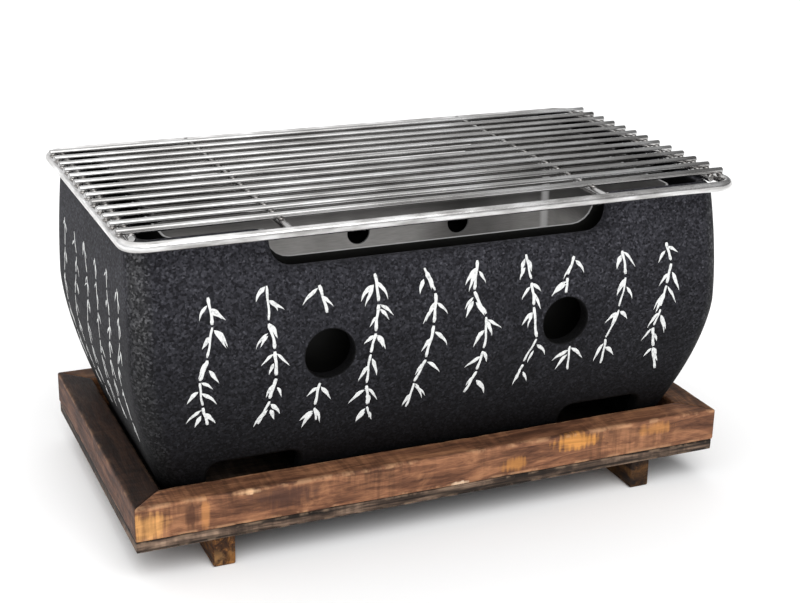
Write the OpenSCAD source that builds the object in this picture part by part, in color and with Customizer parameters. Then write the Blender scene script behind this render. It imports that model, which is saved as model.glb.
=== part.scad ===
// Tabletop hibachi grill: a cast bowl with a sheet fire box inside it, a wire
// cooking grate on its rim, and a framed wooden tray on two foot bars below.
// Millimetres, +Z up, X along the grill. The origin is the middle of the
// footprint, on the surface that the foot bars stand on.

/* [Bowl] */
// Length of the bowl at its parting line, where it is widest
bowl_wide_len = 246; // [200:0.2:300]
// Depth of the bowl at its parting line
bowl_wide_dep = 137.2; // [110:0.2:170]
// How much the length draws in from the parting line to the rim, each end
bowl_top_draw_x = 1.3; // [0:0.1:6]
// How much the depth draws in from the parting line to the rim, each side
bowl_top_draw_y = 7.6; // [0:0.1:10]
// How much the length draws in from the parting line to the foot, each end
bowl_foot_draw_x = 17.3; // [4:0.1:24]
// How much the depth draws in from the parting line to the foot, each side
bowl_foot_draw_y = 20.4; // [4:0.1:26]
// Height of the bowl
bowl_h = 111.5; // [90:0.5:150]
// Height of the parting line above the bowl's foot
parting_h = 64; // [50:0.5:76]
// Wall thickness of the casting
bowl_wall = 6; // [4:0.5:8]
// Radius of the upright corners, outside
bowl_corner_r = 10; // [9:0.5:16]
// Rounding of the rim's outer edge
rim_round = 2.4; // [1:0.2:3.6]
// Height of the casting's floor above its foot
bowl_floor_h = 28.4; // [28:0.2:36]
// Height of the two ribs that the fire box stands on
rib_h = 6; // [5:0.5:12]
// Width of each rib
rib_w = 8; // [5:0.5:14]
// Distance of each rib from the middle of the bowl
rib_x = 72; // [50:1:80]

/* [Vents, notches and arches] */
// Diameter of the round air vents
vent_d = 19.6; // [12:0.2:24]
// Distance of each vent from the middle of the bowl
vent_x = 49.5; // [30:0.5:70]
// Width of the notch in the rim, front and back
notch_len = 140; // [80:1:150]
// Depth of the notch below the rim
notch_depth = 14; // [8:0.5:20]
// Radius of the notch's lower corners
notch_r = 9; // [3:0.5:12]
// Width of the arches under the front and back walls
arch_len = 37; // [20:1:44]
// Height of the arches above the bowl's foot
arch_h = 21.6; // [16:0.2:22]
// Radius of the arches' upper corners
arch_r = 5; // [2:0.5:8]
// Distance of each arch's middle from the middle of the bowl
arch_x = 75.5; // [60:0.5:80]

/* [Fire box] */
// Gap between the fire box and the rim at each end
box_gap_x = 9.7; // [6:0.1:16]
// Gap between the fire box and the rim at the front and back
box_gap_y = 3; // [2:0.5:8]
// Thickness of the sheet
sheet_t = 1; // [0.6:0.1:1.5]
// Outside radius of the bent corners
box_corner_r = 6; // [4:0.5:9]
// Distance of the fire box's top edge below the rim
box_top_drop = 2; // [1:0.5:5]
// How far the fire box's notch stays above the notch in the rim
box_notch_rise = 0.7; // [0:0.1:3]
// How much narrower the fire box's notch is, each end
box_notch_inset = 1.5; // [0:0.5:4]
// Diameter of the air holes in the long sides
air_hole_d = 10.6; // [6:0.2:14]
// Spacing of the air holes in the long sides
air_hole_pitch = 49.6; // [30:0.2:54]
// Offset of the middle air hole along the back, and the other way in front
air_hole_shift = 9.5; // [0:0.5:15]
// Height of the air holes above the bowl's parting line
air_hole_rise = 5; // [-5:0.5:12]
// Diameter of the holes in the floor plate
floor_hole_d = 7.5; // [5:0.5:12]
// Number of holes along the floor plate
floor_hole_cols = 9; // [5:1:9]
// Number of holes across the floor plate
floor_hole_rows = 4; // [2:1:4]
// Clear border between the outermost floor holes' centres and the wall
floor_hole_border = 13; // [9:0.5:18]

/* [Cooking grate] */
// Diameter of the frame wire
frame_d = 4; // [3:0.1:5]
// Diameter of the rods
rod_d = 2.5; // [2:0.1:3.4]
// Diameter of the cross bars under the rods
bar_d = 3.2; // [2.4:0.1:4]
// Distance from the rim to the middle of the frame wire, each end
frame_reach_x = 2.2; // [2:0.1:8]
// Distance from the rim to the middle of the frame wire, front and back
frame_reach_y = 7.5; // [3.6:0.1:10]
// Bend radius of the frame's corners, to the middle of the wire
frame_r = 8; // [5:0.5:14]
// Number of rods, which the list of nodes follows
rod_count = 13; // [13]
// Distance from the frame wire to the outermost rods, middle to middle
rod_margin = 11.8; // [8:0.1:14]
// How far the rods run past the middle of the end wires
rod_over = 1.3; // [0.5:0.1:1.8]
// Distance of the end rest bars inside the end wires, middle to middle
end_bar_inset = 4.4; // [3.8:0.1:6]
// How far the end rest bars run past the middle of the outermost rods
end_bar_over = 1.5; // [1.3:0.1:4]
// Distance of the middle cross bars from the middle of the grate
mid_bar_x = 64.6; // [40:0.2:80]

/* [Tray] */
// Width of the mitred rails, seen from above
rail_w = 12.6; // [9:0.2:16]
// Height of the rails above the base board
rail_h = 14; // [10:0.5:16]
// Gap between the rails and the bowl at the rails' top edge
tray_gap = 1.2; // [0.6:0.1:3]
// Thickness of the base board
board_t = 4.6; // [3:0.2:8]
// How far the base board's edge stands in from the rails
board_inset = 0.3; // [0:0.1:2]
// Height of the foot bars
foot_h = 12.4; // [8:0.2:20]
// Width of the foot bars
foot_w = 8.6; // [8:0.2:14]
// Distance of each foot bar's middle from the tray's end
foot_inset = 34; // [20:0.5:50]
// How far the foot bars' ends stand in from the rails
foot_end_inset = 2; // [0:0.5:5]

/* [Screws] */
// Diameter of the screws' shanks
screw_d = 3; // [2:0.1:3.4]
// Diameter of the countersunk heads
screw_head_d = 6; // [5:0.1:6.6]
// Height of the cone under the head
screw_head_h = 1.6; // [1:0.1:2.5]
// Depth of the pocket that hides each head in its foot bar
screw_pocket = 4; // [1:0.5:5]
// Length of wood that each screw holds in the rail
screw_bite = 8.5; // [5:0.5:9]

/* [Hidden] */

$fn = 40;
// Small overshoot of a cut past the face that it opens
past = 1;
// Length of a cross cut, in thicknesses of what it cuts
cut_reach = 4;
// Steps in each upright corner of the bowl
corner_steps = 7;
// Heights at which the bowl is drawn, below and above the parting line
steps_below = 10;
steps_above = 6;
// Heights at which the hollow under the floor is drawn
steps_under = 4;
// Angles at which the rim's rounding is drawn
rim_angles = [30, 60, 90];
// Powers of the curves that draw the bowl in towards its foot and its rim
foot_power_x = 1.6;
foot_power_y = 1.55;
rim_power = 1.8;

// Heights, from the ground up
board_z = foot_h;
bowl_z = board_z + board_t;
rail_top_z = bowl_z + rail_h;
floor_z = bowl_z + bowl_floor_h;
box_z = floor_z + rib_h;
parting_z = bowl_z + parting_h;
rim_z = bowl_z + bowl_h;
notch_z = rim_z - notch_depth;
box_top_z = rim_z - box_top_drop;
box_notch_z = notch_z + box_notch_rise;
bar_z = rim_z + bar_d / 2;
wire_top_z = rim_z + bar_d;
frame_z = wire_top_z - frame_d / 2;
rod_z = wire_top_z + rod_d / 2;

// Share of the draw at a height: 0 at the parting line, 1 at the foot or the rim
function below(z, power) = pow(max(0, parting_z - z) / parting_h, power);
function above(z) = pow(max(0, z - parting_z) / (bowl_h - parting_h), rim_power);

// Half the bowl's length and half its depth at a height
function half_x(z) = bowl_wide_len / 2
    - bowl_foot_draw_x * below(z, foot_power_x) - bowl_top_draw_x * above(z);
function half_y(z) = bowl_wide_dep / 2
    - bowl_foot_draw_y * below(z, foot_power_y) - bowl_top_draw_y * above(z);

// Plan sizes that follow from the bowl
rim_x = half_x(rim_z);
rim_y = half_y(rim_z);
box_x = rim_x - bowl_wall - box_gap_x;
box_y = rim_y - bowl_wall - box_gap_y;
frame_x = rim_x + frame_reach_x;
frame_y = rim_y + frame_reach_y;
tray_in_x = half_x(rail_top_z) + tray_gap;
tray_in_y = half_y(rail_top_z) + tray_gap;
tray_x = tray_in_x + rail_w;
tray_y = tray_in_y + rail_w;
foot_x = tray_x - foot_inset;
screw_y = tray_y - rail_w / 2;
rod_pitch = 2 * (frame_y - rod_margin) / (rod_count - 1);
bowl_inner_r = bowl_corner_r - bowl_wall;

// Evenly spaced numbers from a to b
function spread(a, b, count) = [for (i = [0:count - 1]) a + (b - a) * i / (count - 1)];

// Heights from a to b with one of them at the parting line
function heights(a, b) = concat(
    spread(a, parting_z, steps_below),
    [for (i = [1:steps_above]) parting_z + (b - parting_z) * i / steps_above]
);

// Outline of a rectangle with round corners, anticlockwise seen from above
function outline(hx, hy, r) = [
    for (q = [0:3])
        for (k = [0:corner_steps])
            let (
                a = 90 * (q + k / corner_steps),
                side_x = (q == 0 || q == 3) ? 1 : -1,
                side_y = q < 2 ? 1 : -1
            )
            [side_x * (hx - r) + r * cos(a), side_y * (hy - r) + r * sin(a)]
];

// Solid through a stack of outlines: each level is [z, half length, half depth]
module loft(levels, r) {
    n = 4 * (corner_steps + 1);
    last = len(levels) - 1;
    points = [
        for (level = levels)
            for (p = outline(level[1], level[2], r))
                [p[0], p[1], level[0]]
    ];
    sides = [
        for (i = [0:last - 1])
            for (j = [0:n - 1])
                let (next = (j + 1) % n)
                [i * n + j, (i + 1) * n + j, (i + 1) * n + next, i * n + next]
    ];
    bottom = [for (j = [0:n - 1]) j];
    top = [for (j = [n - 1:-1:0]) last * n + j];
    polyhedron(points = points, faces = concat([bottom], sides, [top]), convexity = 6);
}

// Upright block whose long sides and corners are true flats and quarter rounds
module round_block(hx, hy, r, z0, z1) {
    translate([0, 0, z0]) {
        translate([-hx + r, -hy, 0]) cube([2 * (hx - r), 2 * hy, z1 - z0]);
        translate([-hx, -hy + r, 0]) cube([2 * hx, 2 * (hy - r), z1 - z0]);
        for (sx = [-1, 1])
            for (sy = [-1, 1])
                translate([sx * (hx - r), sy * (hy - r), 0]) cylinder(r = r, h = z1 - z0);
    }
}

// Slot with square upper end and round lower corners, cut through along Y
module notch_cut(width, z_low, z_high, r, depth) {
    half = width / 2;
    translate([-half, -depth / 2, z_low + r]) cube([width, depth, z_high - z_low - r]);
    translate([-half + r, -depth / 2, z_low]) cube([width - 2 * r, depth, r + past]);
    for (s = [-1, 1])
        translate([s * (half - r), 0, z_low + r]) rotate([90, 0, 0])
            cylinder(r = r, h = depth, center = true);
}

module bowl_casting() {
    rounding = [
        for (a = rim_angles)
            let (z = rim_z - rim_round * (1 - sin(a)), inset = rim_round * (1 - cos(a)))
            [z, half_x(z) - inset, half_y(z) - inset]
    ];
    wall_z = heights(bowl_z, rim_z - rim_round);
    outside = concat([for (z = wall_z) [z, half_x(z), half_y(z)]], rounding);
    cavity = concat(
        [for (z = heights(floor_z, rim_z)) [z, half_x(z) - bowl_wall, half_y(z) - bowl_wall]],
        [[rim_z + past, rim_x - bowl_wall, rim_y - bowl_wall]]
    );
    underside = concat(
        [[bowl_z - past, half_x(bowl_z) - bowl_wall, half_y(bowl_z) - bowl_wall]],
        [
            for (z = spread(bowl_z, floor_z - bowl_wall, steps_under))
                [z, half_x(z) - bowl_wall, half_y(z) - bowl_wall]
        ]
    );
    through = bowl_wide_dep + 2 * past;
    color("#2b2c2f") {
        difference() {
            loft(outside, bowl_corner_r);
            loft(cavity, bowl_inner_r);
            loft(underside, bowl_inner_r);
            notch_cut(notch_len, notch_z, rim_z + past, notch_r, through);
            for (s = [-1, 1]) {
                translate([s * vent_x, 0, parting_z]) rotate([90, 0, 0])
                    cylinder(d = vent_d, h = through, center = true);
                translate([s * arch_x, 0, 2 * bowl_z + arch_h]) mirror([0, 0, 1])
                    notch_cut(arch_len, bowl_z, bowl_z + arch_h + past, arch_r, through);
            }
        }
        for (s = [-1, 1])
            translate([s * rib_x - rib_w / 2, -box_y + box_corner_r, floor_z])
                cube([rib_w, 2 * (box_y - box_corner_r), rib_h]);
    }
}

module fire_box_wall() {
    hole_z = parting_z + air_hole_rise;
    color("#8a8b8d")
        difference() {
            round_block(box_x, box_y, box_corner_r, box_z, box_top_z);
            round_block(box_x - sheet_t, box_y - sheet_t, box_corner_r - sheet_t,
                box_z - past, box_top_z + past);
            notch_cut(notch_len - 2 * box_notch_inset, box_notch_z, box_top_z + past,
                notch_r, 2 * box_y + past);
            for (side = [-1, 1])
                for (i = [-1:1])
                    translate([side * (i * air_hole_pitch + air_hole_shift), side * box_y, hole_z])
                        rotate([90, 0, 0]) cylinder(d = air_hole_d, h = cut_reach * sheet_t, center = true);
        }
}

module fire_box_floor() {
    in_x = box_x - sheet_t;
    in_y = box_y - sheet_t;
    color("#7d7e80")
        difference() {
            round_block(in_x, in_y, box_corner_r - sheet_t, box_z, box_z + sheet_t);
            for (x = spread(-in_x + floor_hole_border, in_x - floor_hole_border, floor_hole_cols))
                for (y = spread(-in_y + floor_hole_border, in_y - floor_hole_border, floor_hole_rows))
                    translate([x, y, box_z - past])
                        cylinder(d = floor_hole_d, h = sheet_t + 2 * past);
        }
}

module wire_x(half, y, z, d) {
    translate([-half, y, z]) rotate([0, 90, 0]) cylinder(d = d, h = 2 * half);
}

module wire_y(x, half, z, d) {
    translate([x, half, z]) rotate([90, 0, 0]) cylinder(d = d, h = 2 * half);
}

// Closed frame wire with round corners
module frame_wire() {
    for (s = [-1, 1]) {
        wire_x(frame_x - frame_r, s * frame_y, frame_z, frame_d);
        wire_y(s * frame_x, frame_y - frame_r, frame_z, frame_d);
    }
    for (q = [0:3])
        translate([
            (q == 0 || q == 3 ? 1 : -1) * (frame_x - frame_r),
            (q < 2 ? 1 : -1) * (frame_y - frame_r),
            frame_z
        ])
            rotate([0, 0, 90 * q]) rotate_extrude(angle = 90)
                translate([frame_r, 0]) circle(d = frame_d);
}

module grate_frame() {
    color("#d4d6d8") frame_wire();
}

// Cross bar from the front wire to the back one, coped onto both
module middle_bar(x) {
    color("#c9cbcd")
        difference() {
            wire_y(x, frame_y, bar_z, bar_d);
            for (s = [-1, 1])
                translate([x, s * frame_y, frame_z]) rotate([0, 90, 0])
                    cylinder(d = frame_d, h = cut_reach * bar_d, center = true);
        }
}

// Short cross bar under the rods' ends, which lies on the bowl's rim
module end_bar(x) {
    color("#c9cbcd") wire_y(x, frame_y - rod_margin + end_bar_over, bar_z, bar_d);
}

// Rod 1 is the front one
module grate_rod(number) {
    y = -frame_y + rod_margin + (number - 1) * rod_pitch;
    color("#dcdee0") wire_x(frame_x + rod_over, y, rod_z, rod_d);
}

// Rail along X, mitred at both ends, on the front side
module long_rail() {
    translate([0, 0, bowl_z]) linear_extrude(rail_h)
        polygon([
            [-tray_x, -tray_y], [tray_x, -tray_y],
            [tray_in_x, -tray_in_y], [-tray_in_x, -tray_in_y]
        ]);
}

// Rail along Y, mitred at both ends, on the left side
module short_rail() {
    translate([0, 0, bowl_z]) linear_extrude(rail_h)
        polygon([
            [-tray_x, tray_y], [-tray_x, -tray_y],
            [-tray_in_x, -tray_in_y], [-tray_in_x, tray_in_y]
        ]);
}

// Shape of one screw, pointing up, or of the hole that it makes
module screw_shape() {
    tip_z = bowl_z + screw_bite;
    translate([0, 0, screw_pocket])
        cylinder(d1 = screw_head_d, d2 = screw_d, h = screw_head_h);
    translate([0, 0, screw_pocket]) cylinder(d = screw_d, h = tip_z - screw_pocket);
    translate([0, 0, tip_z]) cylinder(d1 = screw_d, d2 = 0, h = screw_d);
}

// Screws, or their holes, at the ends of both foot bars
module at_screws() {
    for (sx = [-1, 1])
        for (sy = [-1, 1])
            translate([sx * foot_x, sy * screw_y, 0]) children();
}

module tray_rail_front() {
    color("#5f4330") difference() { long_rail(); at_screws() screw_shape(); }
}

module tray_rail_back() {
    color("#5a3f2d") difference() { mirror([0, 1, 0]) long_rail(); at_screws() screw_shape(); }
}

module tray_rail_left() {
    color("#4d382b") short_rail();
}

module tray_rail_right() {
    color("#6b4a33") mirror([1, 0, 0]) short_rail();
}

module tray_base_board() {
    color("#6e4c34")
        difference() {
            translate([-tray_x + board_inset, -tray_y + board_inset, board_z])
                cube([2 * (tray_x - board_inset), 2 * (tray_y - board_inset), board_t]);
            at_screws() screw_shape();
        }
}

module foot_bar(side) {
    half = tray_y - foot_end_inset;
    color("#7a5539")
        difference() {
            translate([side * foot_x - foot_w / 2, -half, 0]) cube([foot_w, 2 * half, foot_h]);
            at_screws() screw_shape();
            at_screws() translate([0, 0, -past])
                cylinder(d = screw_head_d, h = screw_pocket + past);
        }
}

module foot_screws() {
    color("#b8b08a") at_screws() screw_shape();
}

bowl_casting();
fire_box_wall();
fire_box_floor();
grate_frame();
end_bar(-frame_x + end_bar_inset);  // grate_end_bar_left
end_bar(frame_x - end_bar_inset);  // grate_end_bar_right
middle_bar(-mid_bar_x);  // grate_mid_bar_left
middle_bar(mid_bar_x);  // grate_mid_bar_right
grate_rod(1);  // grate_rod_01
grate_rod(2);  // grate_rod_02
grate_rod(3);  // grate_rod_03
grate_rod(4);  // grate_rod_04
grate_rod(5);  // grate_rod_05
grate_rod(6);  // grate_rod_06
grate_rod(7);  // grate_rod_07
grate_rod(8);  // grate_rod_08
grate_rod(9);  // grate_rod_09
grate_rod(10);  // grate_rod_10
grate_rod(11);  // grate_rod_11
grate_rod(12);  // grate_rod_12
grate_rod(13);  // grate_rod_13
tray_rail_front();
tray_rail_back();
tray_rail_left();
tray_rail_right();
tray_base_board();
foot_bar(-1);  // foot_bar_left
foot_bar(1);  // foot_bar_right
foot_screws();
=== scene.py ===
"""Tabletop hibachi grill: cast bowl, sheet fire box, wire cooking grate and scorched wooden tray."""
import math
import random

import bmesh
import bpy
import numpy as np
from mathutils import Matrix, Vector, noise
from mathutils.geometry import delaunay_2d_cdt


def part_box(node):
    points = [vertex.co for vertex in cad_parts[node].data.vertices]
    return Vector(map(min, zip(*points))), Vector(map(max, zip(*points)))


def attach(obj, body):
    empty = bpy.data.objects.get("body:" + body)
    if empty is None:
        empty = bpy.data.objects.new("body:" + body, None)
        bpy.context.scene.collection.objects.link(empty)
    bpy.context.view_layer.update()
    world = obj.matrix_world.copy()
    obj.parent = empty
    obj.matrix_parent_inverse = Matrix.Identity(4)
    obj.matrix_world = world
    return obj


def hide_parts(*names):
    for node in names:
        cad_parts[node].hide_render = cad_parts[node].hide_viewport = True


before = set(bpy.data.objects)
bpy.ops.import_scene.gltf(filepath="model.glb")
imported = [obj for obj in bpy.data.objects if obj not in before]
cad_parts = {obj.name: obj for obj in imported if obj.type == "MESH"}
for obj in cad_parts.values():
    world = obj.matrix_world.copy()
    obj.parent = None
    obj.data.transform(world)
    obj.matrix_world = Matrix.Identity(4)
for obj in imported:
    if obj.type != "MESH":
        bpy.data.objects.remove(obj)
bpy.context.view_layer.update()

MM = 0.001
QUARTER = math.pi / 2

# ---------- driving values

# Shape of the bowl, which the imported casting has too. The mesh's flat panels end at BOWL_JOIN_X.
PARTING_RISE = 64 * MM
FOOT_DRAW_X = 17.3 * MM
FOOT_DRAW_Y = 20.4 * MM
TOP_DRAW_X = 1.3 * MM
TOP_DRAW_Y = 7.6 * MM
FOOT_POWER_X = 1.6
FOOT_POWER_Y = 1.55
RIM_POWER = 1.8
BOWL_WALL = 6 * MM
BOWL_CORNER_R = 10 * MM
BOWL_JOIN_X = 95.65 * MM
VENT_X = 49.5 * MM
VENT_R = 9.8 * MM
NOTCH_HALF = 70 * MM
NOTCH_DEPTH = 14 * MM
NOTCH_R = 9 * MM
ARCH_X = 75.5 * MM
ARCH_HALF = 18.5 * MM
ARCH_H = 21.6 * MM
ARCH_R = 5 * MM
FLOOR_RISE = 28.4 * MM
RIB_X = 72 * MM
RIB_HALF_W = 4 * MM

# Fire box
SHEET_T = 1 * MM
BOX_CORNER_R = 6 * MM
BOX_NOTCH_HALF = 68.5 * MM
BOX_NOTCH_DEPTH = 11.3 * MM
AIR_HOLE_R = 5.3 * MM
AIR_HOLE_PITCH = 49.6 * MM
AIR_HOLE_SHIFT = 9.5 * MM
AIR_HOLE_RISE = 5 * MM

# Painted pattern: thickness above and below the coating, columns and spacing on each side
PAINT_LIFT = 0.05 * MM
PAINT_SINK = 0.04 * MM
LONG_COLUMNS = 10
LONG_PITCH = 21.1 * MM
END_COLUMNS = 6
END_PITCH = 18 * MM
VENT_ROOM = VENT_R + 1.8 * MM

# Grate
FRAME_R = 2 * MM
FRAME_BEND_R = 8 * MM
ROD_R = 1.25 * MM
BAR_R = 1.6 * MM
ROD_COUNT = 13
WELD_SINK = 0.15 * MM
ROD_WELD = (1.5 * MM, 1.7 * MM, 0.55 * MM)
BAR_WELD = (2.1 * MM, 1.1 * MM, 1.7 * MM)

# Tray
SCREW_INSET = 6.3 * MM
POCKET_R = 3 * MM
POCKET_DEPTH = 4 * MM
POCKET_SIDES = 32
RAIL_ROUND = 0.9 * MM

# Camera, which looks at the grill from the front left, a little above it
CAMERA_AT = (-236.98 * MM, -556.97 * MM, 293.82 * MM)
CAMERA_YAW = math.radians(23.759)
CAMERA_PITCH = math.radians(20.128)
CAMERA_ROLL = math.radians(1.261)
CAMERA_LENS = 68.70

bowl_low, bowl_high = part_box("bowl_casting")
box_low, box_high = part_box("fire_box_wall")
frame_low, frame_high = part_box("grate_frame")
BOWL_Z = bowl_low.z
RIM_Z = bowl_high.z
PARTING_Z = BOWL_Z + PARTING_RISE
WIRE_TOP_Z = frame_high.z


# ---------- mesh helpers

def mesh_object(name, verts, faces, values=None):
    """Mesh object in the scene. Doubled points are merged and normals turned outwards. values holds
    lists of floats, one per point, which a material can read by name."""
    mesh = bpy.data.meshes.new(name)
    mesh.from_pydata([tuple(v) for v in verts], [], [tuple(f) for f in faces])
    work = bmesh.new()
    work.from_mesh(mesh)
    for key, numbers in (values or {}).items():
        layer = work.verts.layers.float.new(key)
        for vert, number in zip(work.verts, numbers):
            vert[layer] = float(number)
    bmesh.ops.remove_doubles(work, verts=work.verts, dist=0.002 * MM)
    bmesh.ops.recalc_face_normals(work, faces=work.faces)
    work.to_mesh(mesh)
    work.free()
    made = bpy.data.objects.new(name, mesh)
    bpy.context.scene.collection.objects.link(made)
    return made


def new_piece(name, verts, faces, body, material, values=None):
    """Smooth mesh object that rides on a body and has a material."""
    piece = mesh_object(name, verts, faces, values)
    for polygon in piece.data.polygons:
        polygon.use_smooth = len(polygon.vertices) <= 4
    piece.data.materials.append(material)
    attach(piece, body)
    return piece


def grid_faces(rows, columns, close_rows=False, close_columns=False, start=0):
    """Quads of a grid whose points are numbered row by row."""
    faces = []
    for i in range(rows if close_rows else rows - 1):
        for j in range(columns if close_columns else columns - 1):
            this_row = start + i * columns
            next_row = start + (i + 1) % rows * columns
            k = (j + 1) % columns
            faces.append((this_row + j, this_row + k, next_row + k, next_row + j))
    return faces


def caps(rows, columns, start=0):
    """Faces that close both ends of a grid whose columns are closed."""
    last = start + (rows - 1) * columns
    return [tuple(range(start, start + columns)), tuple(range(last, last + columns))]


def join_on(points, faces, made):
    """Adds the points and faces that made holds to the lists."""
    faces += [[len(points) + i for i in face] for face in made[1]]
    points += made[0]


# ---------- shells with openings

def slotted_edge(slots, join_x, step):
    """Straight edge with round-cornered slots in it: rows of (u, v, outward u, outward v).
    The material lies below v = 0, and a slot is (middle, half width, depth, corner radius, lip radius)."""
    rows = []

    def line(u0, v0, u1, v1, nu, nv):
        length = math.hypot(u1 - u0, v1 - v0)
        count = max(1, round(length / step))
        if length > 1e-7:
            for i in range(count):
                t = i / count
                rows.append((u0 + (u1 - u0) * t, v0 + (v1 - v0) * t, nu, nv))

    def arc(cu, cv, radius, start, end, sign):
        count = max(5, round(abs(end - start) * radius / step))
        for i in range(count):
            a = start + (end - start) * i / count
            ca = math.cos(a)
            sa = math.sin(a)
            rows.append((cu + radius * ca, cv + radius * sa, sign * ca, sign * sa))

    u = -join_x
    for middle, half, depth, r, lip in slots:
        left = middle - half
        right = middle + half
        line(u, 0, left - lip, 0, 0, 1)
        arc(left - lip, -lip, lip, QUARTER, 0, 1)
        line(left, -lip, left, r - depth, 1, 0)
        arc(left + r, r - depth, r, 2 * QUARTER, 3 * QUARTER, -1)
        line(left + r, -depth, right - r, -depth, 0, 1)
        arc(right - r, r - depth, r, 3 * QUARTER, 4 * QUARTER, -1)
        line(right, r - depth, right, -lip, -1, 0)
        arc(right + lip, -lip, lip, 2 * QUARTER, QUARTER, 1)
        u = right + lip
    line(u, 0, join_x, 0, 0, 1)
    rows.append((join_x, 0, 0, 1))
    return np.array(rows)


def round_edge(radius, steps):
    """Setback from the edge and depth below the face, from the face to the edge of a quarter round."""
    angles = np.linspace(0, QUARTER, steps + 1)
    return [(radius * (1 - math.sin(a)), radius * (1 - math.cos(a))) for a in angles]


def inside(points, loop):
    """Which points lie inside a closed loop."""
    x = points[:, 0][:, None]
    y = points[:, 1][:, None]
    x0, y0 = loop[:, 0], loop[:, 1]
    x1, y1 = np.roll(x0, -1), np.roll(y0, -1)
    crosses = (y0 > y) != (y1 > y)
    span = np.where(y1 == y0, 1, y1 - y0)
    at = x0 + (y - y0) * (x1 - x0) / span
    return (np.sum(crosses & (x < at), axis=1) % 2) == 1


def fill_panel(loop, holes, rows, step):
    """Triangles of a flat panel with holes: an even grid with its border points kept."""
    border = np.vstack([loop] + holes)
    columns = np.arange(loop[:, 0].min() + step, loop[:, 0].max() - step / 2, step)
    grid = np.array([(x, z) for z in rows for x in columns])
    keep = inside(grid, loop)
    for hole in holes:
        keep &= ~inside(grid, hole)
    grid = grid[keep]
    gap = np.min(np.hypot(grid[:, 0][:, None] - border[:, 0], grid[:, 1][:, None] - border[:, 1]), axis=1)
    points = np.vstack([border, grid[gap > 0.6 * step]])
    edges = []
    start = 0
    for ring in [loop] + holes:
        count = len(ring)
        edges += [(start + i, start + (i + 1) % count) for i in range(count)]
        start += count
    result = delaunay_2d_cdt([Vector(p / MM) for p in points], edges, [], 0, 1e-5)
    source = [ids[0] for ids in result[3]]
    faces = np.array([[source[i] for i in face] for face in result[2]])
    middles = points[faces].mean(axis=1)
    keep = inside(middles, loop)
    for hole in holes:
        keep &= ~inside(middles, hole)
    return points, faces[keep].tolist()


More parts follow.
